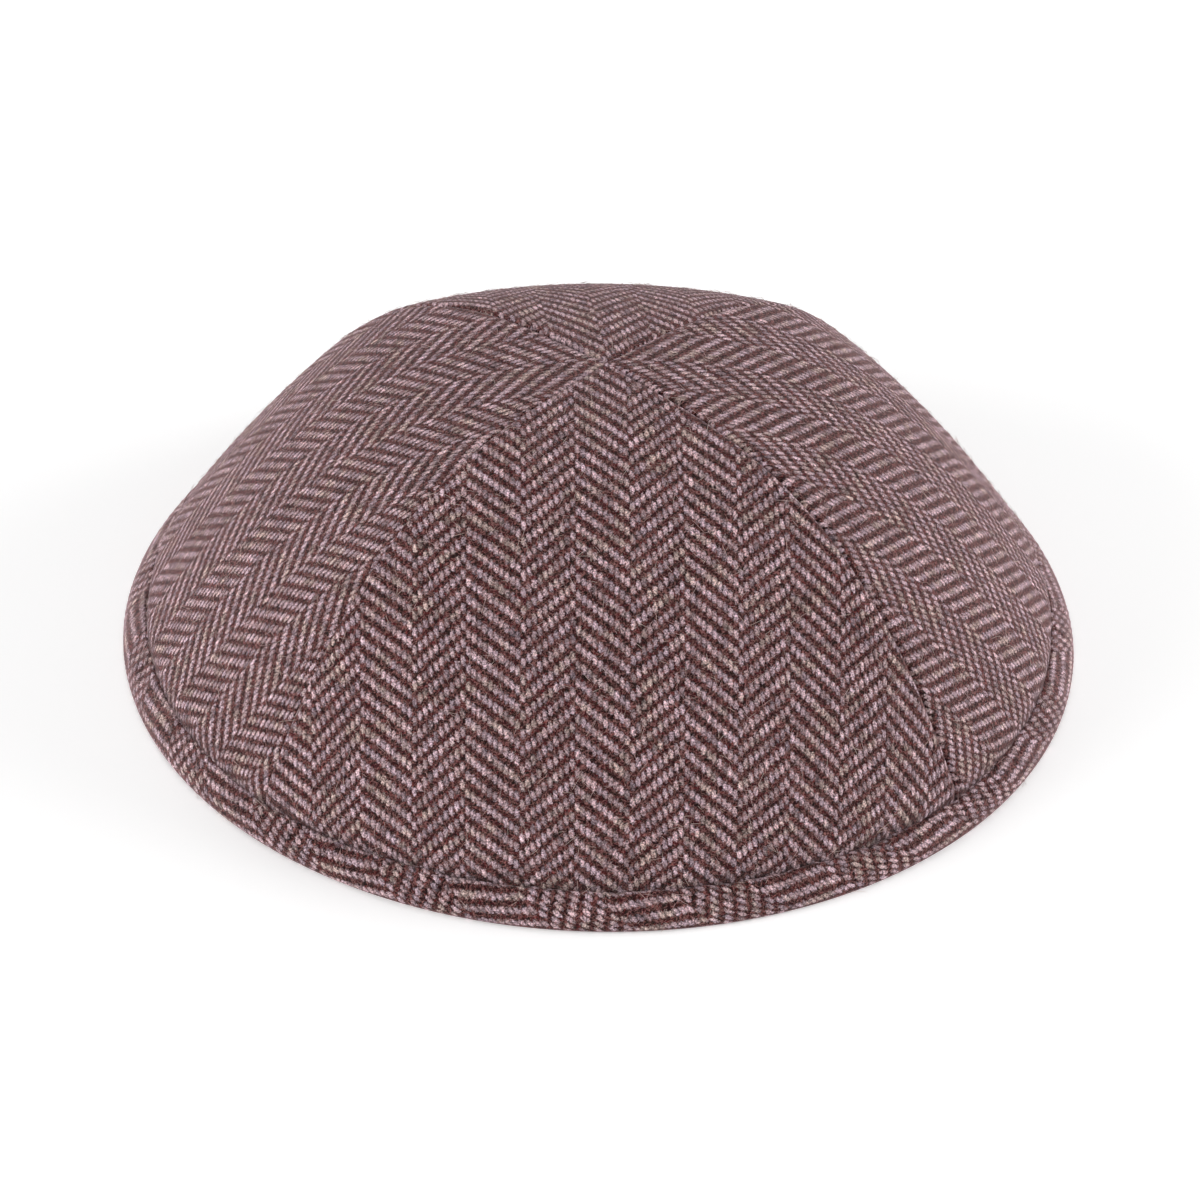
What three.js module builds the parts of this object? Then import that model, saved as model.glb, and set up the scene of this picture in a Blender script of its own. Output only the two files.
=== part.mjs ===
// A four-panel skullcap standing on its rim, in millimetres, +Z up.
// Four equal gores of cloth meet at the top of the crown, and a folded strip binds their lower edge.
// The cap is modelled round, and then squeezed a little from front to back, as it stands.
// The origin is on the ground, under the middle of the crown, and the front panel faces -Y.
import * as THREE from 'three';
import { LoftGeometry } from 'three/addons/geometries/LoftGeometry.js';
import { mergeVertices } from 'three/addons/utils/BufferGeometryUtils.js';

// Driving dimensions of the crown
const crownRadius = 81.2;
const crownHeight = 54.4;
const profilePower = 3.12;
const frontToBack = 0.95;
const clothThickness = 2.2;
const seamGap = 0.3;
const rollWidth = 2;
const rollDrop = 0.9;
const panelFoot = 1.8;

// Driving dimensions of the binding
const bindingWidth = 5.1;
const bindingThickness = 1.2;
const bindingGap = 0.3;
const foldRadius = 1.4;

// Facets
const panelRows = 16;
const smoothColumns = 16;
const rollColumns = 3;
const bindingSteps = 18;
const weldDistance = 1e-3;

const clothColour = 0x7d6363;
const clothRoughness = 0.95;

const panels = [
  { name: 'panel_front', turned: 0 },
  { name: 'panel_right', turned: Math.PI / 2 },
  { name: 'panel_back', turned: Math.PI },
  { name: 'panel_left', turned: -Math.PI / 2 },
];

// One leg of the folded binding, from the edge of the flat that it stands on, up its outer face and
// down its inner one. `out` is counted away from the panels' cloth and `height` from the ground.
const outerFace = bindingGap + bindingThickness;
const bindingLeg = [
  { out: outerFace - foldRadius, height: 0 },
  { out: outerFace - foldRadius * 0.3, height: foldRadius * 0.3 },
  { out: outerFace, height: foldRadius },
  { out: outerFace, height: bindingWidth - bindingThickness },
  { out: bindingGap + bindingThickness * 0.8, height: bindingWidth - bindingThickness * 0.3 },
  { out: bindingGap + bindingThickness * 0.4, height: bindingWidth },
  { out: bindingGap, height: bindingWidth - bindingThickness * 0.5 },
  { out: bindingGap, height: panelFoot - bindingGap },
];

// How far from the middle of the crown its outer face comes down to a height, as a share of the radius
// that it has at the ground.
function shareAtHeight(height) {
  return (1 - height / crownHeight) ** (1 / profilePower);
}

// The level section of the front panel at a share. Its two ends lie on the seams, a quarter turn apart,
// and between them runs an arc that is a quarter of a circle at the ground and nearly straight at the top.
function sectionArc(share) {
  const halfAngle = (Math.PI / 4) * share;
  const halfChord = (crownRadius * share) / Math.SQRT2;
  const radius = halfChord / Math.sin(halfAngle);
  return { halfAngle, radius, halfWidth: radius * halfAngle };
}

// A point of the front panel. `turn` runs from -1 at its left seam to 1 at its right one, and `depth`
// is counted inwards from the outer face.
function crownPoint(share, turn, depth) {
  const { halfAngle, radius } = sectionArc(share);
  const angle = halfAngle * turn;
  const forward = radius * (Math.cos(angle) - Math.cos(halfAngle) + Math.sin(halfAngle));
  const sideways = radius * Math.sin(angle);
  const height = crownHeight * (1 - share ** profilePower);
  const shrink = 1 - depth / crownRadius;
  const lower = 1 - depth / crownHeight;
  return new THREE.Vector3(sideways * shrink, -forward * shrink, height * lower);
}

// One row of a panel's outer face: where each column lies between the seams, and how far the turned
// edge beside the seam has rolled down there.
function panelColumns(share) {
  const { halfAngle, halfWidth } = sectionArc(share);
  const trim = seamGap / 2 / Math.cos(Math.PI / 4 - halfAngle);
  const reach = Math.max(halfWidth - trim - weldDistance, 0);
  const roll = Math.min(rollWidth, reach / 3);
  const halfColumns = smoothColumns / 2 + rollColumns;
  const columns = [];
  for (let i = -halfColumns; i <= halfColumns; i++) {
    const step = Math.abs(i) - smoothColumns / 2;
    const rolled = (Math.max(step, 0) / rollColumns) * (Math.PI / 2);
    const smooth = Math.min(Math.abs(i) / (smoothColumns / 2), 1);
    const distance = smooth * (reach - roll) + roll * Math.sin(rolled);
    columns.push({
      turn: (Math.sign(i) * distance) / halfWidth,
      drop: rollDrop * (roll / rollWidth) * (1 - Math.cos(rolled)),
    });
  }
  return columns;
}

// One closed body from a loft: shared corners are merged, and faces that have shrunk to a line go.
function closedBody(loft) {
  const surface = new THREE.BufferGeometry();
  surface.setAttribute('position', loft.getAttribute('position'));
  surface.setIndex(loft.index);
  const body = mergeVertices(surface, weldDistance);
  const corners = body.index.array;
  const kept = [];
  for (let i = 0; i < corners.length; i += 3) {
    const [a, b, c] = corners.slice(i, i + 3);
    if (a !== b && b !== c && c !== a) kept.push(a, b, c);
  }
  body.setIndex(kept);
  body.computeVertexNormals();
  return body;
}

// A gore is lofted from its tip at the top of the crown down to its foot inside the binding.
function panelGeometry() {
  const tip = seamGap / crownRadius;
  const foot = shareAtHeight(panelFoot);
  const sections = [];
  for (let row = 0; row <= panelRows; row++) {
    const share = THREE.MathUtils.lerp(tip, foot, row / panelRows);
    const columns = panelColumns(share);
    const outside = columns.map(({ turn, drop }) => crownPoint(share, turn, drop));
    const inside = columns.map(({ turn }) => crownPoint(share, turn, clothThickness));
    sections.push([...inside, ...outside.reverse()]);
  }
  return closedBody(new LoftGeometry(sections, { capEnd: true }));
}

// The binding is lofted once round the rim. Its two legs are alike on both sides of the cloth.
function bindingGeometry() {
  const upAxis = new THREE.Vector3(0, 0, 1);
  const outerLeg = bindingLeg.map(({ out, height }) => ({ depth: -out, height }));
  const innerLeg = bindingLeg.map(({ out, height }) => ({ depth: clothThickness + out, height }));
  const profile = [...innerLeg, ...outerLeg.reverse()];
  const sections = [];
  for (const { turned } of panels) {
    for (let step = 0; step < bindingSteps; step++) {
      const turn = (2 * step) / bindingSteps - 1;
      sections.push(profile.map(({ depth, height }) => (
        crownPoint(shareAtHeight(height), turn, depth).applyAxisAngle(upAxis, turned)
      )));
    }
  }
  sections.push(sections[0]);
  return closedBody(new LoftGeometry(sections));
}

function clothMesh(name, geometry) {
  const material = new THREE.MeshStandardMaterial({
    color: clothColour,
    roughness: clothRoughness,
    metalness: 0,
  });
  const mesh = new THREE.Mesh(geometry, material);
  mesh.name = name;
  return mesh;
}

const kippah = new THREE.Group();
kippah.scale.y = frontToBack;

const crown = new THREE.Group();
for (const { name, turned } of panels) {
  const panel = clothMesh(name, panelGeometry());
  panel.rotation.z = turned;
  crown.add(panel);
}
kippah.add(crown);
kippah.add(clothMesh('rim_binding', bindingGeometry()));

export default kippah;
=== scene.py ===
from math import atan, cos, pi, radians, sin, sqrt, tau

import bmesh
import bpy
import numpy as np
from mathutils import Matrix, Vector
from mathutils.geometry import delaunay_2d_cdt


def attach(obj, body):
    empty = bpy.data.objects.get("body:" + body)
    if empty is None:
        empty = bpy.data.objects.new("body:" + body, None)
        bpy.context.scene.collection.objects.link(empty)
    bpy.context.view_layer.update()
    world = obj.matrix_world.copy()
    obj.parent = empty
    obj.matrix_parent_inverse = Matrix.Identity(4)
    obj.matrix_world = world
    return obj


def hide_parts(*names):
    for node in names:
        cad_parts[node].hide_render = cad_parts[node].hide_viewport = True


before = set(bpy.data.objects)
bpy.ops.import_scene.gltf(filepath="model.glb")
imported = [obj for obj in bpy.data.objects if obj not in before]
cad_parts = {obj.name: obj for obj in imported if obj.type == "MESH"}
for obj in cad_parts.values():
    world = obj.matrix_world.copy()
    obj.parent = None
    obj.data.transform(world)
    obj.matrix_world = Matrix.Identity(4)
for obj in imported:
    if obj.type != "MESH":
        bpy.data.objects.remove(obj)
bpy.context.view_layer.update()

mm = 0.001

# The crown's shape, in millimetres. The front panel faces -Y.
crown = {
    "radius": 82.0,          # of the outer face at the ground
    "height": 53.8,
    "power": 3.12,           # how flat the top is
    "frontToBack": 0.95,     # the squeeze that makes the rim a little oval
    "thickness": 2.6,
    "foot": 2.4,             # the panels' lower edge, inside the binding
    "slack": 0.4,            # how far the cloth sinks round the middle, halfway to slackWidth
    "slackWidth": 60.0,
}

# The cloth's threads, in millimetres
cloth = {
    "endPitch": 0.842,       # from one lengthwise yarn to the next
    "pickPitch": 0.69,       # from one crosswise yarn to the next
    "columnEnds": 10,        # lengthwise yarns to a column of the herringbone
    "relief": 0.15,          # how far a yarn stands up
    "reliefMiddle": 0.6,     # the share of that which lies inside the cloth's outline
    "bow": 2.9,              # how far the crosswise yarns rise at bowAt
    "bowAt": 42.0,
    "topStretch": 0.22,      # how much longer pressing has made the cloth at the top
    "topWidth": 46.0,
    "footPress": 0.05,       # and how much shorter at the foot
    "footStart": 74.0,       # how far below the top that starts
    "mapSize": 100.0,        # of cloth to one step of the UV map
}


# One material's node tree. Numbers are worked out with plain operators on what it hands back.
class Wire:
    def __init__(self, shader, socket):
        self.shader = shader
        self.socket = socket

    def __add__(self, other):
        return self.shader.maths("ADD", self, other)

    def __sub__(self, other):
        return self.shader.maths("SUBTRACT", self, other)

    def __rsub__(self, other):
        return self.shader.maths("SUBTRACT", other, self)

    def __mul__(self, other):
        return self.shader.maths("MULTIPLY", self, other)

    def __truediv__(self, other):
        return self.shader.maths("DIVIDE", self, other)

    def __pow__(self, other):
        return self.shader.maths("POWER", self, other)

    def __mod__(self, other):
        return self.shader.maths("FLOORED_MODULO", self, other)

    def __abs__(self):
        return self.shader.maths("ABSOLUTE", self)

    def output(self, number):
        # another output of the same node
        return Wire(self.shader, self.socket.node.outputs[number])

    __radd__ = __add__
    __rmul__ = __mul__


class Shader:
    def __init__(self, name):
        self.material = bpy.data.materials.new(name)
        self.material.use_nodes = True
        self.tree = self.material.node_tree
        self.tree.nodes.clear()

    def node(self, kind, settings=None, sockets=None, out=0):
        made = self.tree.nodes.new(kind)
        for name, value in (settings or {}).items():
            setattr(made, name, value)
        for name, value in (sockets or {}).items():
            if isinstance(value, Wire):
                self.tree.links.new(value.socket, made.inputs[name])
            else:
                made.inputs[name].default_value = value
        return Wire(self, made.outputs[out]) if len(made.outputs) else made

    def maths(self, operation, *values):
        return self.node("ShaderNodeMath", {"operation": operation}, dict(enumerate(values)))

    def floor(self, value):
        return self.maths("FLOOR", value)

    def larger(self, one, two):
        return self.maths("MAXIMUM", one, two)

    def root(self, value):
        return self.maths("SQRT", self.larger(value, 0.0))

    def smooth(self, value, low, high):
        settings = {"interpolation_type": "SMOOTHSTEP", "clamp": True}
        return self.node("ShaderNodeMapRange", settings, {"Value": value, "From Min": low, "From Max": high})

    def mix(self, factor, one, two):
        return self.node("ShaderNodeMix", {"data_type": "RGBA"}, {0: factor, 6: one, 7: two}, 2)

    def tone(self, colour, strength):
        # a colour made lighter or darker
        return self.node("ShaderNodeVectorMath", {"operation": "SCALE"}, {0: colour, 3: strength})

    def vector(self, x, y, z=0.0):
        return self.node("ShaderNodeCombineXYZ", None, {"X": x, "Y": y, "Z": z})

    def split(self, colour):
        return self.node("ShaderNodeSeparateColor", None, {0: colour})

    def noise(self, where, scale, detail=2.0, out="Fac"):
        return self.node("ShaderNodeTexNoise", None, {"Vector": where, "Scale": scale, "Detail": detail}, out)

    def patches(self, where, scale, detail, low, high):
        return self.smooth(self.noise(where, scale, detail), low, high)

    def chance(self, x, y):
        return self.node("ShaderNodeTexWhiteNoise", {"noise_dimensions": "3D"}, {"Vector": self.vector(x, y)})

    def finished(self, sockets):
        surface = self.node("ShaderNodeBsdfPrincipled", None, sockets)
        self.node("ShaderNodeOutputMaterial", None, {"Surface": surface})
        return self.material


def linear(red, green, blue):
    # a colour as a screen shows it, in the numbers that a shader takes
    def curve(value):
        value = value / 255
        return value / 12.92 if value <= 0.04045 else ((value + 0.055) / 1.055) ** 2.4
    return (curve(red), curve(green), curve(blue), 1.0)


def weave(ends, picks, floor):
    # where a point lies in its float of a broken herringbone, for numbers and for wires alike
    end = floor(ends)
    repeat = end % (2 * cloth["columnEnds"])
    second = floor(repeat / cloth["columnEnds"])                    # 1 in the columns that lean the other way
    within = repeat - second * cloth["columnEnds"]
    offset = within + second * (3 - 2 * within)
    lengthwise = (picks - offset + 1) % 4 - 2                       # 0 at the middle of a float
    sideways = ends - end - 0.5 - lengthwise * tweed["lean"]
    fullness = 1 - (sideways / tweed["yarnWidth"]) ** 2 - (abs(lengthwise) / tweed["yarnLength"]) ** 2.6
    return end, offset, lengthwise, fullness


tweed = {
    "pinkYarn": (200, 170, 174),
    "lilacYarn": (193, 169, 180),
    "oatYarn": (192, 170, 160),
    "wineYarn": (66, 18, 26),
    "rustYarn": (86, 32, 32),
    "mossYarn": (54, 40, 32),
    "fuzzAndSheen": (172, 120, 116),     # pale fibres that lie over the dark yarns
    "redFleck": (150, 60, 56),
    "sheenTint": (236, 214, 216),
    "yarnWidth": 0.48,           # half a light float's width, in ends
    "yarnLength": 1.12,          # half its length, in picks
    "lean": 0.10,                # how far it leans, in ends a pick
    "ragged": 0.45,              # how far fibres blur its outline, in ends
    "crossYarn": 0.45,           # how high a crosswise yarn stands, as a share of a float
    "oatShare": 0.8,             # how much of the oat and moss yarns shows in their patches
    "mossShare": 0.8,
    "paleFibres": 0.4,
    "darkFibres": 0.72,
    "flecks": 0.4,
    "fibreGauge": 3.8,           # fibres to a millimetre of cloth
    "bump": 0.00018,             # metres
    "sheen": 0.12,
    "crownPaintedSheen": 0.2,            # painted sheen: how much paler the crown's colour is made where it turns away from the camera
    "bindingPaintedSheen": 0.6,          # and where the binding does
    "paintedGrooveShade": 0.58,         # painted shade: how far the crown's colour is darkened in the groove above the binding
    "grooveBottom": 4.2,         # millimetres above the ground, where the painted shade is full and where it ends
    "grooveTop": 7.8,
    "grooveUneven": 4.0,
}


def tweedMaterial(name, paintsGrooveShade, fuzzAndSheen):
    s = Shader(name)
    place = s.node("ShaderNodeSeparateXYZ", None, {0: s.node("ShaderNodeUVMap", {"uv_map": "cloth"})})
    across, down = place * cloth["mapSize"], place.output(1) * cloth["mapSize"]      # in millimetres
    flat = s.vector(across, down)
    fray = s.split(s.noise(flat, 2.6, 2.0, "Color"))
    ends = across / cloth["endPitch"] + (fray - 0.5) * (2 * tweed["ragged"])
    picks = down / cloth["pickPitch"] + (fray.output(1) - 0.5) * (3 * tweed["ragged"])
    end, offset, lengthwise, fullness = weave(ends, picks, s.floor)
    ragged = (s.noise(flat, 4.0, 3.0) - 0.5) * 3.2
    raised = s.smooth(fullness + ragged, -0.85, 0.75)
    light = s.root(fullness)
    pick = s.floor(picks)
    weft = 1 - abs(picks - pick - 0.5) * 2
    weftRound = s.root(weft * (2 - weft))

    # wool: fibres that run every way, streaks along each yarn and slow changes of shade
    def fibres(low, directions):
        most = 0.0
        for angle, seed in directions:
            along = across * cos(angle) + down * sin(angle) + fray * 0.9
            over = down * cos(angle) - across * sin(angle) + fray.output(2) * 0.6
            where = s.vector(along * 0.8, over * tweed["fibreGauge"], seed)
            most = s.larger(s.patches(where, 1.0, 1.0, low, low + 0.1), most)
        return most

    paleFibres = fibres(0.54, ((0.4, 3.0), (1.5, 11.0), (2.5, 19.0)))
    darkFibres = fibres(0.55, ((0.9, 29.0), (2.1, 37.0)))
    grain = s.patches(flat, 3.4, 4.0, 0.33, 0.67)
    twist = s.patches(s.vector(ends * 4.2 + lengthwise * 1.3, picks * 0.9), 1.0, 2.0, 0.3, 0.7)
    patch = s.patches(flat, 0.3, 3.0, 0.35, 0.65)
    fleck = s.patches(s.vector(across, down, 13.0), 1.5, 2.0, 0.66, 0.74)
    floatShade = s.chance(end, s.floor((picks - offset + 1) / 4))
    warpShade = s.patches(s.vector(end * 3.7, down * 0.16), 1.0, 2.0, 0.3, 0.7)
    weftShade = s.patches(s.vector(across * 0.35, pick * 3.7), 1.0, 2.0, 0.3, 0.7)
    warpTint = s.patches(s.vector(end * 0.4, down * 0.3, 7.0), 1.0, 3.0, 0.35, 0.65)
    weftTint = s.patches(s.vector(across * 0.9, pick * 2.1, 3.0), 1.0, 3.0, 0.35, 0.65)
    mossTint = s.patches(s.vector(across * 1.2, down * 1.5, 5.0), 1.0, 4.0, 0.46, 0.58)
    oatTint = s.patches(s.vector(across * 0.22, down * 0.22, 9.0), 1.0, 3.0, 0.5, 0.65)

    # the light lengthwise yarns over the dark crosswise ones
    lightColour = s.mix(warpTint, linear(*tweed["pinkYarn"]), linear(*tweed["lilacYarn"]))
    lightColour = s.mix(oatTint * tweed["oatShare"], lightColour, linear(*tweed["oatYarn"]))
    lightTone = 0.27 + warpShade * 0.28 + floatShade * 0.48 + patch * 0.34
    # painted shade: each light float is made darker towards its edges and ends
    lightTone = lightTone * (0.46 + light * 0.54 + twist * 0.3)
    darkColour = s.mix(weftTint, linear(*tweed["wineYarn"]), linear(*tweed["rustYarn"]))
    darkColour = s.mix(mossTint * tweed["mossShare"], darkColour, linear(*tweed["mossYarn"]))
    # painted shade: each crosswise yarn is made darker towards its edges
    darkTone = (0.32 + weftShade * 0.75) * (0.45 + weftRound * 0.6) * (0.5 + twist * 0.8)
    colour = s.mix(raised, s.tone(darkColour, darkTone), s.tone(lightColour, lightTone))

    # and the fibres over both
    colour = s.mix(paleFibres * tweed["paleFibres"] * (1 - raised * 0.6), colour, linear(*tweed["fuzzAndSheen"]))
    colour = s.tone(colour, (1.24 - darkFibres * tweed["darkFibres"]) * (0.5 + grain * 0.96))
    colour = s.mix(fleck * tweed["flecks"], colour, linear(*tweed["redFleck"]))
    # painted shade: the crown's colour is darkened low down, in the groove above the binding, where the crevice
    # lies in shadow
    if paintsGrooveShade:
        above = s.node("ShaderNodeSeparateXYZ", None, {0: s.node("ShaderNodeTexCoord", out=3)}, 2) / mm
        above = above + (s.noise(flat, 0.45, 3.0) - 0.5) * tweed["grooveUneven"]
        lit = s.smooth(above, tweed["grooveBottom"], tweed["grooveTop"])
        colour = s.tone(colour, 1 - (1 - lit) * tweed["paintedGrooveShade"])
    # painted sheen: the colour is paled towards the pink yarn where the surface turns away from the camera
    turnedAway = s.node("ShaderNodeLayerWeight", None, {"Blend": 0.5}, "Facing")
    colour = s.mix(turnedAway ** 2.5 * fuzzAndSheen, colour, linear(*tweed["pinkYarn"]))
    height = s.larger(light, weftRound * tweed["crossYarn"]) + grain * 0.4 + twist * 0.25 + paleFibres * 0.25
    bump = s.node("ShaderNodeBump", None, {"Strength": 1.0, "Distance": tweed["bump"], "Height": height})
    return s.finished({
        "Base Color": colour, "Roughness": 0.92, "Normal": bump, "Specular IOR Level": 0.15,
        "Sheen Weight": tweed["sheen"], "Sheen Roughness": 0.45, "Sheen Tint": linear(*tweed["sheenTint"]),
    })


def yarnHeight(flat):
    # the weave's relief at points of the flat cloth, from 0 to 1
    picks = flat[..., 1] / cloth["pickPitch"]
    fullness = weave(flat[..., 0] / cloth["endPitch"], picks, np.floor)[3]
    weft = 1 - np.abs(picks - np.floor(picks) - 0.5) * 2
    return np.maximum(np.sqrt(np.maximum(fullness, 0)), tweed["crossYarn"] * np.sqrt(weft * (2 - weft)))


def shareAt(height):
    # how far out the crown comes down to a height, as a share of its radius at the ground
    return np.maximum(1 - height / crown["height"], 0) ** (1 / crown["power"])


def forwardAt(side, share):
    # how far in front of the middle the panel's level section lies
    half = pi / 4 * np.maximum(share, 1e-6)
    radius = crown["radius"] * np.maximum(share, 1e-6) / sqrt(2) / np.sin(half)
    return np.sqrt(np.maximum(radius ** 2 - side ** 2, 0)) - radius * (np.cos(half) - np.sin(half))


def midline(outScale):
    # the panel's middle from the top down: how far it has run, where it is and which way is inward
    share = np.linspace(0, 1.04, 8000)
    out = outScale * forwardAt(0 * share, share)
    height = crown["height"] * (1 - share ** crown["power"])
    down = np.concatenate([[0], np.cumsum(np.hypot(np.diff(out), np.diff(height)))])
    alongOut, alongHeight = np.gradient(out, down), np.gradient(height, down)
    return down, out, height, alongHeight, -alongOut


def pressed(down):
    # the cloth's length after pressing, from the top down
    nearTop = np.maximum(1 - down / cloth["topWidth"], 0)
    nearFoot = np.maximum(down - cloth["footStart"], 0)
    return down + cloth["topStretch"] * cloth["topWidth"] / 3 * (1 - nearTop ** 3) - cloth["footPress"] * nearFoot


def flatToCrown(across, down, sideScale, outScale):
    # where a point of the flat cloth lies on the crown: sideways, forward and up
    length, out, height, inOut, inHeight = midline(outScale)
    bent = pressed(down - cloth["bow"] * (across / cloth["bowAt"]) ** 2)
    atTop = bent < 0.3                                              # the last bit over the top is level
    out, height = np.interp(bent, length, out), np.interp(bent, length, height)
    inOut, inHeight = np.interp(bent, length, inOut), np.interp(bent, length, inHeight)

    # from the middle, each crosswise yarn is turned inward until its end touches the crown
    low, high = np.zeros_like(across), np.full_like(across, 1.5)
    for halving in range(36):
        turn = (low + high) / 2
        chord = np.abs(across) * np.sinc(turn / pi)
        side, sink = chord * np.cos(turn), chord * np.sin(turn)
        here, level = out + sink * inOut, height + sink * inHeight
        outside = here / outScale > forwardAt(side / sideScale, shareAt(level))
        low, high = np.where(outside, turn, low), np.where(outside, high, turn)
    side, here = np.where(atTop, across, np.sign(across) * side), np.where(atTop, bent, here)
    return side, here, np.where(atTop, crown["height"], level)


def laid(ends, picks, lie):
    # where a point of the weave lies on its panel, found from where the panel's points lie on the weave
    across, down = ends - lie["column"], picks - lie["row"]
    for correction in range(24):
        gotEnds = lie["column"] + lie["wide"] * across + (lie["lean"] + lie["fan"] * across) * down
        gotEnds = gotEnds + lie["curl"] * across ** 2
        gotPicks = lie["row"] + lie["tilt"] * across + (lie["long"] + lie["skew"] * across) * down
        gotPicks = gotPicks + (lie["sag"] + lie["flare"] * down) * across ** 2 + lie["ease"] * down ** 2
        across = np.clip(across + ends - gotEnds, -90, 90)          # near the panel
        down = np.clip(down + picks - gotPicks, -12, 120)
    return across, down


def settled(points):
    # the four seams hold the middle of the top up, and the cloth round it sinks a little
    fromMiddle = np.minimum(np.hypot(points[..., 0], points[..., 1]) / crown["slackWidth"], 1)
    sunk = crown["slack"] * 4 * fromMiddle * (1 - fromMiddle)
    return points - np.stack([0 * sunk, 0 * sunk, sunk], -1)


def wander(turn):
    # the unevenness of sewing by hand round the rim, from about -1 to 1
    return 0.45 * np.sin(23 * turn + 1.0) + 0.3 * np.sin(57 * turn + 2.4) + 0.25 * np.sin(131 * turn + 0.6)


def inScene(name, data):
    made = bpy.data.objects.new(name, data)
    bpy.context.collection.objects.link(made)
    return made


# The panels' cloth, in millimetres
panel = {
    "clothWide": 82.0,       # half the flat cloth's width, and its length below the crown's top
    "clothLong": 108.0,
    "clothOver": 12.0,       # how far it reaches over the top
    "spare": 1.0,            # cloth past the seams and the foot, before it is cut
    "seamGap": 0.06,         # between two panels' turned edges
    "rollWidth": 1.6,        # of the turned edge beside a seam
    "strongSeam": 0.95,      # how deep the edges turn down at the long seam, and at the two short ones
    "weakSeam": 0.32,
    "flatEdge": 0.4,         # the yarns lie flat this close to a seam
    "dipHeight": 8.4,        # where the cloth starts to turn in under the binding
    "dipEnd": 4.2,
    "dipDepth": 2.1,
    "dipCurve": 1.7,         # how late it gets steep
    "dipUneven": 0.5,
    "insideGrid": 3.0,       # the spacing of the plain inner side's points
    "insideClear": 1.2,      # and how far they stay from the seams
}


def outerSheet(name, sideScale, outScale, lie):
    # the outer side, with three steps to a lengthwise yarn and two to a crosswise one
    endStep, pickStep = cloth["endPitch"] / 3, cloth["pickPitch"] / 2
    beside, below = int(panel["clothWide"] / endStep), int(panel["clothLong"] / pickStep)
    across = endStep * (np.arange(-beside, beside) + 0.5)
    down = pickStep * (np.arange(-int(panel["clothOver"] / pickStep), below) + 0.5)
    grid = [g.ravel() for g in np.meshgrid(across, down)]
    side, out, height = flatToCrown(*laid(*grid, lie), sideScale, outScale)
    beyond = (np.abs(side) * outScale - out * sideScale) / np.hypot(outScale, sideScale)
    used = (beyond < panel["spare"]) & (height > crown["foot"] - panel["spare"])
    number = np.arange(used.size).reshape(len(down), len(across))
    corners = np.stack([number[:-1, :-1], number[1:, :-1], number[1:, 1:], number[:-1, 1:]], -1).reshape(-1, 4)
    corners = corners[used[corners].all(1)]
    kept, corners = np.unique(corners, return_inverse=True)
    corners = corners.reshape(-1, 4)
    points = settled(np.stack([side, -out, height], 1))[kept]
    flat = np.stack(grid, 1)[kept]
    mesh = bpy.data.meshes.new(name)
    mesh.from_pydata(points, [], corners)
    onMap = flat[corners].reshape(-1, 2) / cloth["mapSize"]
    mesh.uv_layers.new(name="cloth").data.foreach_set("uv", onMap.ravel())
    return mesh


def cutOut(shell, sideScale, outScale):
    # cut along both seams and the lower edge
    seams = [Vector((sign * outScale, sideScale, 0)).normalized() for sign in (-1, 1)]
    cuts = [(-facing * panel["seamGap"] / 2, facing) for facing in seams]
    cuts.append((Vector((0, 0, crown["foot"])), Vector((0, 0, -1))))
    for place, facing in cuts:
        everything = shell.verts[:] + shell.edges[:] + shell.faces[:]
        bmesh.ops.bisect_plane(shell, geom=everything, plane_co=place, plane_no=facing, clear_outer=True)


def edgeInOrder(shell):
    # the vertices round the sheet's edge, one after another
    loop = []
    edge = next(e for e in shell.edges if e.is_boundary)
    vertex = edge.verts[0]
    while not loop or vertex is not loop[0]:
        loop.append(vertex)
        vertex = edge.other_vert(vertex)
        edge = next(e for e in vertex.link_edges if e.is_boundary and e is not edge)
    return loop


def innerSide(edgePoints, edgeFlat, sideScale, outScale, lie):
    # the plain inner side, inside the same edge: its points, their places on the cloth and its triangles
    step = panel["insideGrid"]
    wide = np.arange(-panel["clothWide"], panel["clothWide"], step)
    long = np.arange(-3 * step, panel["clothLong"], step)
    inner = np.stack(np.meshgrid(wide, long), -1).reshape(-1, 2)
    side, out, height = flatToCrown(*laid(inner[:, 0], inner[:, 1], lie), sideScale, outScale)
    clear = np.abs(side) * outScale - out * sideScale < -panel["insideClear"]
    clear &= height > crown["foot"] + panel["spare"]
    points = np.concatenate([edgePoints, settled(np.stack([side, -out, height], 1))[clear]])
    flat = np.concatenate([edgeFlat, inner[clear]])
    found = delaunay_2d_cdt([Vector(p) for p in flat], [], [list(range(len(edgeFlat)))], 1, 1e-5)
    origin = [made[0] if made else None for made in found[3]]
    triangles = [[origin[k] for k in reversed(triangle)] for triangle in found[2]]
    shrink = 1 - crown["thickness"] / crown["radius"]
    lower = 1 - crown["thickness"] / crown["height"]
    return points * (shrink, shrink, lower), flat, [t for t in triangles if None not in t]


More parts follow.
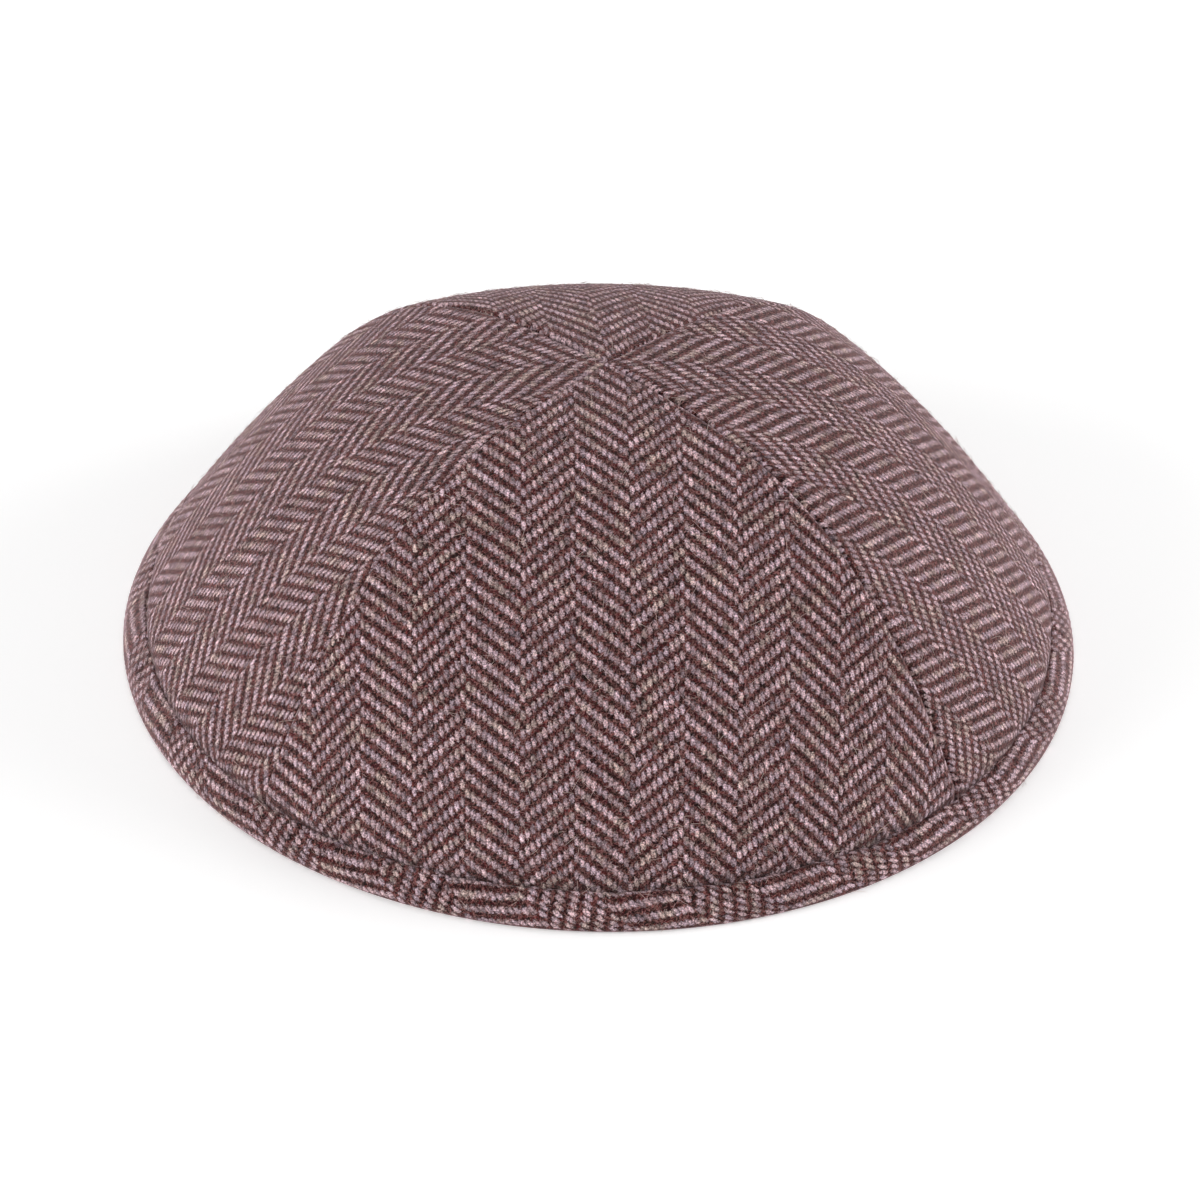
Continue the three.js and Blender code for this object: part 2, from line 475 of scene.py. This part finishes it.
def outerRelief(points, flat, turned, sideScale, outScale, strongSide):
    # how far the outer side stands out: turned edges at the seams, the dip above the binding and the yarns
    side, out, height = np.abs(points[:, 0]), -points[:, 1], points[:, 2]
    half = pi / 4 * shareAt(height)
    fromSeam = (out * sideScale - side * outScale) / np.hypot(outScale, sideScale) - panel["seamGap"] / 2
    fromSeam = fromSeam / np.cos(pi / 4 - half)
    width = np.minimum(panel["rollWidth"], 0.5 * side + 0.05)
    rolled = np.clip(1 - fromSeam / width, 0, 1)
    seamDepth = np.where(points[:, 0] * strongSide > 0, panel["strongSeam"], panel["weakSeam"])
    drop = seamDepth * (width / panel["rollWidth"]) * (1 - np.sqrt(1 - rolled ** 2 * 0.999))
    upper = panel["dipHeight"] + panel["dipUneven"] * wander(np.arctan2(points[:, 0], out) + turned)
    dip = np.clip((upper - height) / (upper - panel["dipEnd"]), 0, 1)
    drop = drop + panel["dipDepth"] * dip ** panel["dipCurve"]
    raised = cloth["relief"] * (yarnHeight(flat) - cloth["reliefMiddle"])
    return raised * np.clip(fromSeam / panel["flatEdge"], 0, 1) - drop


def closeShell(shell, loop, backPoints, backFlat, triangles):
    # join the inner side to the outer one's edge
    uv = shell.loops.layers.uv["cloth"]
    backs = [shell.verts.new(point) for point in backPoints]

    def addFace(corners, places):
        face = shell.faces.new(corners)
        for corner, k in zip(face.loops, places):
            corner[uv].uv = backFlat[k] / cloth["mapSize"]

    for a in range(len(loop)):
        b = (a + 1) % len(loop)
        addFace((loop[b], loop[a], backs[a], backs[b]), (b, a, a, b))
    for triangle in triangles:
        addFace([backs[k] for k in triangle], triangle)
    bmesh.ops.recalc_face_normals(shell, faces=shell.faces[:])
    if shell.calc_volume(signed=True) < 0:
        bmesh.ops.reverse_faces(shell, faces=shell.faces[:])
    for face in shell.faces:
        face.smooth = True


def panelCloth(name, node, turned, sideScale, outScale, strongSide, lie):
    mesh = outerSheet(name, sideScale, outScale, lie)
    shell = bmesh.new()
    shell.from_mesh(mesh)
    cutOut(shell, sideScale, outScale)
    shell.normal_update()
    shell.verts.ensure_lookup_table()
    uv = shell.loops.layers.uv["cloth"]
    points = np.array([v.co for v in shell.verts])
    facing = np.array([v.normal for v in shell.verts])
    flat = np.array([v.link_loops[0][uv].uv for v in shell.verts]) * cloth["mapSize"]
    loop = edgeInOrder(shell)
    ring = [v.index for v in loop]
    back = innerSide(points[ring], flat[ring], sideScale, outScale, lie)
    points = points + facing * outerRelief(points, flat, turned, sideScale, outScale, strongSide)[:, None]
    for vertex, point in zip(shell.verts, points):
        vertex.co = point
    closeShell(shell, loop, *back)
    toPlace = Matrix.Rotation(turned, 4, "Z") @ Matrix.Scale(mm, 4)
    bmesh.ops.transform(shell, matrix=toPlace, verts=shell.verts[:])
    shell.to_mesh(mesh)
    shell.free()
    made = inScene(name, mesh)
    mesh.materials.append(crownTweed)
    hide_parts(node)
    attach(made, "root")
    print(name, len(mesh.polygons), "faces")


crownTweed = tweedMaterial("crownTweed", True, tweed["crownPaintedSheen"])

# How the cloth lies on each panel: where its first column and row come, how much it is stretched and leans,
# and how its columns and rows bend, all in millimetres of weave for millimetres of panel.
frontLie = {
    "column": 5.57, "wide": 0.986, "lean": 0.0135, "fan": 0.00008, "curl": 0.00015,
    "row": -0.89, "long": 0.978, "tilt": 0.020, "skew": -0.00025,
    "sag": -0.00012, "flare": -0.0000338, "ease": 0.00012,
}
rightLie = {
    "column": -0.70, "wide": 1.006, "lean": -0.015, "fan": 0.00016, "curl": -0.00035,
    "row": -0.33, "long": 0.912, "tilt": 0.028, "skew": 0.00073,
    "sag": -0.00112, "flare": -0.0000017, "ease": 0.00038,
}
backLie = {
    "column": 0.08, "wide": 1.0, "lean": -0.10, "fan": 0.0, "curl": 0.0,
    "row": 0.0, "long": 0.95, "tilt": -0.03, "skew": 0.0,
    "sag": -0.0006, "flare": 0.0, "ease": 0.0003,
}
leftLie = {
    "column": 0.82, "wide": 1.005, "lean": -0.0957, "fan": 0.00058, "curl": 0.0008,
    "row": 0.46, "long": 0.891, "tilt": 0.049, "skew": 0.00011,
    "sag": -0.00077, "flare": -0.0000169, "ease": 0.00033,
}
squeeze = crown["frontToBack"]      # acts outward on the front and back panels, and sideways on the other two
panelCloth("front_panel_cloth", "panel_front", 0, 1, squeeze, 1, frontLie)
panelCloth("right_panel_cloth", "panel_right", pi / 2, squeeze, 1, -1, rightLie)
panelCloth("back_panel_cloth", "panel_back", pi, 1, squeeze, 1, backLie)
panelCloth("left_panel_cloth", "panel_left", -pi / 2, squeeze, 1, -1, leftLie)


# The folded strip round the rim, in millimetres
binding = {
    "steps": 1440,           # all the way round
    "fine": 0.26,            # between two points up its faces
    "width": 5.0,
    "thickness": 1.5,
    "gap": 0.15,             # between its inner faces and the panels
    "foldRadius": 1.4,
    "spread": 0.8,           # how far its outer face leans out at the foot
    "bulge": 0.45,
    "drawnLong": 1.04,       # how much the strip was pulled as it was sewn on
    "drawnNarrow": 0.8,
    "channel": 1.4,          # the height of the floor that the panels stand on
    "relief": 0.8,           # of its yarns, as a share of the crown's
    "uneven": 0.32,          # how far its upper edge wanders up and down
    "wanderFrom": 2.0,       # the height from which it does, and at twice that it does so in full
    "flatFoot": 0.8,         # the yarns lie flat below this height
    "start": 11.4,           # where its herringbone starts
}


def bindingSection():
    # one round of the folded strip: depth into the crown and height, with how far the cloth has run
    fine, fold, width = binding["fine"], binding["foldRadius"], binding["width"]
    reach = binding["gap"] + binding["thickness"]
    lip = binding["thickness"] / 2
    tucked = panel["dipDepth"]

    def leg(sign, base, spread):
        rows = []
        for turn in np.linspace(pi, 0, 9):                          # the lip
            rows.append((reach - lip + lip * cos(turn), width - lip + lip * sin(turn)))
        for height in np.arange(width - lip - fine, fold, -fine):
            share = (height - fold) / (width - lip - fold)
            rows.append((reach + spread * (1 - share) + binding["bulge"] * sin(pi * share), height))
        for turn in np.linspace(0, pi / 2, 7):                      # the fold
            rows.append((reach + spread - fold * (1 - cos(turn)), fold * (1 - sin(turn))))
        return [(base + sign * out, height) for out, height in rows]

    front = leg(-1, tucked, binding["spread"])
    back = leg(1, crown["thickness"], 0.0)[::-1]
    inside = (crown["thickness"] + binding["gap"], tucked - binding["gap"])
    section = np.array(front + back + [(depth, binding["channel"]) for depth in inside])
    run = np.concatenate([[0], np.cumsum(np.hypot(*np.diff(section, axis=0).T))])
    return section[:, 0], section[:, 1], run


def rimPoint(turn, depth, height):
    # a point of the crown beside a height, round the whole rim
    quarter = np.round(turn / (pi / 2))
    within = turn - quarter * (pi / 2)
    share = shareAt(height)
    half = pi / 4 * share
    radius = crown["radius"] * share / sqrt(2) / np.sin(half)
    angle = within * share
    out = radius * (np.cos(angle) - np.cos(half) + np.sin(half))
    side = radius * np.sin(angle)
    shrink = 1 - depth / crown["radius"]
    side, out = side * shrink, out * shrink
    x = side * np.cos(quarter * pi / 2) + out * np.sin(quarter * pi / 2)
    y = side * np.sin(quarter * pi / 2) - out * np.cos(quarter * pi / 2)
    return np.stack([x, y * crown["frontToBack"], height * (1 + 0 * x)], -1)


def bindingCloth():
    depth, height, run = bindingSection()
    turn = np.linspace(0, tau, binding["steps"] + 1) - pi / 4
    points = rimPoint(turn[:-1, None], depth[None], height[None])

    # the cloth lies at 45 degrees, and whole repeats of its herringbone go round
    middle = rimPoint(turn, np.full_like(turn, -1.5), np.full_like(turn, 3.5))      # of the outer face
    far = np.concatenate([[0], np.cumsum(np.linalg.norm(np.diff(middle, axis=0), axis=1))])
    repeat = cloth["endPitch"] * 2 * cloth["columnEnds"] * sqrt(2)
    far = far * (round(far[-1] / binding["drawnLong"] / repeat) * repeat / far[-1])
    run = np.append(run, run[0]) / binding["drawnNarrow"]
    flatX = (far[:, None] - run[None]) / sqrt(2) + binding["start"]
    flat = np.stack([flatX, (far[:, None] + run[None]) / sqrt(2)], -1)

    # the yarns' relief
    tangent = np.roll(points, -1, 0) - np.roll(points, 1, 0)
    over = np.roll(points, -1, 1) - np.roll(points, 1, 1)
    facing = np.cross(over, tangent)
    facing /= np.linalg.norm(facing, axis=2, keepdims=True)
    relief = cloth["relief"] * binding["relief"] * (yarnHeight(flat[:-1, :-1]) - cloth["reliefMiddle"])
    relief[:, -2:] = 0
    relief = relief * np.clip(height / binding["flatFoot"], 0, 1)[None]
    points = points + facing * relief[..., None]
    wanders = np.clip((height - binding["wanderFrom"]) / binding["wanderFrom"], 0, 1)
    lift = binding["uneven"] * wanders[None] * wander(turn[:-1, None] + 0.7)
    points[..., 2] = np.maximum(points[..., 2] + lift, 0)

    number = np.arange(points[..., 0].size).reshape(points.shape[:2])
    nextStep, nextColumn = np.roll(number, -1, 0), np.roll(number, -1, 1)
    corners = np.stack([number, nextStep, np.roll(nextStep, -1, 1), nextColumn], -1)
    onMap = np.stack([flat[:-1, :-1], flat[1:, :-1], flat[1:, 1:], flat[:-1, 1:]], 2) / cloth["mapSize"]
    mesh = bpy.data.meshes.new("rim_binding_cloth")
    mesh.from_pydata(points.reshape(-1, 3) * mm, [], corners.reshape(-1, 4))
    mesh.uv_layers.new(name="cloth").data.foreach_set("uv", onMap.ravel())
    shell = bmesh.new()
    shell.from_mesh(mesh)
    bmesh.ops.recalc_face_normals(shell, faces=shell.faces[:])
    shell.to_mesh(mesh)
    shell.free()
    mesh.shade_smooth()
    made = inScene("rim_binding_cloth", mesh)
    mesh.materials.append(tweedMaterial("bindingTweed", False, tweed["bindingPaintedSheen"]))
    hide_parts("rim_binding")
    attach(made, "root")
    print("rim_binding_cloth", len(mesh.polygons), "faces")


bindingCloth()


# Loose hairs, in metres
wool = {
    "Per square metre": 150000.0,
    "Length": 0.002,
    "Shortest": 0.35,        # and the longest, as shares of that
    "Longest": 1.5,
    "Thickness": 0.00003,
    "Curl": 0.0006,
    "Least lean": 1.36,      # how far a hair leans from upright, in radians
    "Most lean": 1.54,
    "Points": 5,
    "Seed": 7,
}
hairTints = {
    "pale": (200, 168, 166),
    "oat": (208, 188, 178),
    "dark": (120, 78, 70),
}
hairGround = {               # the rings that the hairs grow on, in millimetres
    "lowest": 0.6,
    "shoulder": 40.0,        # up to here they are evenly spaced, and above it closer towards the top
    "lowRings": 50,
    "topRings": 30,
    "topReach": 14.4,
    "above": 0.05,           # the crown's outer face
    "around": 240,
}


def hairMaterial():
    s = Shader("strayWool")
    tint = s.split(s.noise(s.node("ShaderNodeTexCoord", out=3), 420, 1.0, "Color"))
    pale = s.mix(s.smooth(tint, 0.4, 0.6), linear(*hairTints["pale"]), linear(*hairTints["oat"]))
    colour = s.mix(s.smooth(tint.output(1), 0.45, 0.6), pale, linear(*hairTints["dark"]))
    return s.finished({"Base Color": colour, "Roughness": 0.8, "Specular IOR Level": 0.2})


def hairTree():
    tree = bpy.data.node_groups.new("strayHairs", "GeometryNodeTree")
    tree.interface.new_socket("Geometry", in_out="INPUT", socket_type="NodeSocketGeometry")
    tree.interface.new_socket("Geometry", in_out="OUTPUT", socket_type="NodeSocketGeometry")
    for name, value in wool.items():
        kind = "NodeSocketInt" if isinstance(value, int) else "NodeSocketFloat"
        tree.interface.new_socket(name, in_out="INPUT", socket_type=kind)

    def node(kind, settings=None, sockets=None):
        made = tree.nodes.new(kind)
        for name, value in (settings or {}).items():
            setattr(made, name, value)
        for name, value in (sockets or {}).items():
            if isinstance(value, bpy.types.NodeSocket):
                tree.links.new(value, made.inputs[name])
            else:
                made.inputs[name].default_value = value
        return made.outputs

    given = node("NodeGroupInput")
    seed = given["Seed"]
    spots = node("GeometryNodeDistributePointsOnFaces", None, {
        "Mesh": given["Geometry"], "Density": given["Per square metre"], "Seed": seed,
    })
    stem = node("GeometryNodeCurvePrimitiveLine", None, {"End": (0, 0, 1)})
    stem = node("GeometryNodeResampleCurve", None, {"Curve": stem[0], "Count": given["Points"]})
    low = node("ShaderNodeCombineXYZ", None, {"X": given["Least lean"], "Z": -pi})
    high = node("ShaderNodeCombineXYZ", None, {"X": given["Most lean"], "Z": pi})
    lean = node("FunctionNodeRandomValue", {"data_type": "FLOAT_VECTOR"}, {0: low[0], 1: high[0], "Seed": seed})
    local = {"rotation_type": "EULER", "space": "LOCAL"}
    turned = node("FunctionNodeRotateEuler", local, {0: spots["Rotation"], 1: lean[0]})
    shares = {"data_type": "FLOAT"}
    size = node("FunctionNodeRandomValue", shares, {2: given["Shortest"], 3: given["Longest"], "Seed": seed})
    size = node("ShaderNodeMath", {"operation": "MULTIPLY"}, {0: size[1], 1: given["Length"]})
    hairs = node("GeometryNodeInstanceOnPoints", None, {
        "Points": spots["Points"], "Instance": stem[0], "Rotation": turned[0], "Scale": size[0],
    })
    hairs = node("GeometryNodeRealizeInstances", None, {0: hairs[0]})
    waver = node("ShaderNodeTexNoise", None, {"Scale": 900.0, "Detail": 1.0})
    waver = node("ShaderNodeVectorMath", {"operation": "SUBTRACT"}, {0: waver["Color"], 1: (0.5, 0.5, 0.5)})
    along = node("GeometryNodeSplineParameter")
    reach = node("ShaderNodeMath", {"operation": "MULTIPLY"}, {0: along["Factor"], 1: given["Curl"]})
    waver = node("ShaderNodeVectorMath", {"operation": "SCALE"}, {0: waver[0], 3: reach[0]})
    hairs = node("GeometryNodeSetPosition", None, {"Geometry": hairs[0], "Offset": waver[0]})
    outline = node("GeometryNodeCurvePrimitiveCircle", None, {"Resolution": 3, "Radius": given["Thickness"]})
    tubes = {"Curve": hairs[0], "Profile Curve": outline[0], "Fill Caps": True}
    hairs = node("GeometryNodeCurveToMesh", None, tubes)
    hairs = node("GeometryNodeRealizeInstances", None, {0: hairs[0]})
    hairs = node("GeometryNodeSetMaterial", None, {"Geometry": hairs[0], "Material": hairMaterial()})
    node("NodeGroupOutput", None, {0: hairs[0]})
    return tree


def growingGround():
    low = np.linspace(hairGround["lowest"], hairGround["shoulder"], hairGround["lowRings"])
    nearTop = np.linspace(1, 0.0005, hairGround["topRings"])[1:] ** 1.5
    heights = np.concatenate([low, crown["height"] - hairGround["topReach"] * nearTop])
    turn = np.linspace(0, tau, hairGround["around"] + 1)[:-1]
    depth = np.full((len(heights), 1), -hairGround["above"])
    rings = settled(rimPoint(turn[None], depth, heights[:, None]))
    number = np.arange(rings[..., 0].size).reshape(len(heights), len(turn))
    beside = np.roll(number, -1, 1)
    corners = np.stack([number[:-1], beside[:-1], beside[1:], number[1:]], -1).reshape(-1, 4)
    mesh = bpy.data.meshes.new("hairGround")
    mesh.from_pydata(rings.reshape(-1, 3) * mm, [], corners)
    return inScene("hairGround", mesh)


def strayHairs():
    ground = growingGround()
    grow = ground.modifiers.new("grow", "NODES")
    grow.node_group = hairTree()
    for socket in grow.node_group.interface.items_tree:
        if socket.in_out == "INPUT" and socket.name in wool:
            grow[socket.identifier] = wool[socket.name]
    evaluated = ground.evaluated_get(bpy.context.evaluated_depsgraph_get())
    mesh = bpy.data.meshes.new_from_object(evaluated)
    made = inScene("stray_wool_hairs", mesh)
    bpy.data.objects.remove(ground)
    mesh.name = made.name

    # leave out the hairs that would reach into the floor
    perHair = 3 * wool["Points"]
    heights = np.array([v.co.z for v in mesh.vertices]).reshape(-1, perHair)
    tooLow = np.repeat(heights.min(1) < 0.1 * mm, perHair)
    strands = bmesh.new()
    strands.from_mesh(mesh)
    bmesh.ops.delete(strands, geom=[v for v, low in zip(strands.verts, tooLow) if low], context="VERTS")
    strands.to_mesh(mesh)
    strands.free()
    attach(made, "root")
    print("stray_wool_hairs", len(mesh.polygons), "faces")


strayHairs()


# The floor, the camera and the lights
studio = {
    "floorSize": 6.0,
    "floorGlow": 0.24,
    "skyLight": 0.42,
    "lamps": (               # place and width in metres, and watts
        ("leftSoftbox", (-1.2, -0.42, 0.4), 0.8, 13.0),
        ("rightSoftbox", (1.25, 0.0, 0.4), 0.8, 12.5),
        ("backSoftbox", (0, 0.8, 1.0), 0.9, 2.6),
    ),
    "distance": 0.574,       # from the middle of the rim to the camera
    "elevation": 38.56,
    "azimuth": 3.16,         # the camera stands this far to the cap's own left
    "roll": 1.71,
    "lens": 99.57,
    "aimSide": 0.1,          # pixels from the picture's middle to the middle of the rim
    "aimDown": 20.4,
}


def floorAndLights():
    floorMesh = bpy.data.meshes.new("floor")
    size = studio["floorSize"]
    corners = [(-size, -size, 0), (size, -size, 0), (size, size, 0), (-size, size, 0)]
    floorMesh.from_pydata(corners, [], [(0, 1, 2, 3)])
    floor = inScene("floor", floorMesh)
    floorMesh.materials.append(Shader("paleFloor").finished({
        "Base Color": (0.95, 0.95, 0.95, 1), "Roughness": 0.8, "Specular IOR Level": 0.1,
        "Emission Color": (1, 1, 1, 1), "Emission Strength": studio["floorGlow"],
    }))
    world = bpy.data.worlds.new("studio")
    bpy.context.scene.world = world
    world.use_nodes = True
    sky = world.node_tree.nodes["Background"].inputs
    sky["Color"].default_value = (1, 1, 1, 1)
    sky["Strength"].default_value = studio["skyLight"]
    for name, place, width, power in studio["lamps"]:
        lamp = bpy.data.lights.new(name, "AREA")
        lamp.size = width
        lamp.energy = power
        light = inScene(name, lamp)
        light.location = place
        light.rotation_euler = (-Vector(place)).to_track_quat("-Z", "Y").to_euler()


def photoCamera():
    lens = bpy.data.cameras.new("photoCamera")
    lens.lens = studio["lens"]
    lens.sensor_width = 36
    lens.clip_start, lens.clip_end = 0.01, 50
    camera = inScene("photoCamera", lens)
    azimuth, elevation = radians(studio["azimuth"]), radians(studio["elevation"])
    away = Vector((-sin(azimuth) * cos(elevation), -cos(azimuth) * cos(elevation), sin(elevation)))
    camera.location = away * studio["distance"]
    pixels = studio["lens"] / lens.sensor_width * 1200              # the focal length, in the photo's pixels
    level = (-away).to_track_quat("-Z", "Y").to_matrix()
    nod = Matrix.Rotation(atan(studio["aimDown"] / pixels), 3, "X")
    swing = Matrix.Rotation(atan(studio["aimSide"] / pixels), 3, "Y")
    tilt = Matrix.Rotation(radians(studio["roll"]), 3, "Z")
    camera.rotation_euler = (level @ nod @ swing @ tilt).to_euler()
    bpy.context.scene.camera = camera


floorAndLights()
photoCamera()
bpy.context.scene.view_settings.view_transform = "Standard"
print("floor, lights and camera")
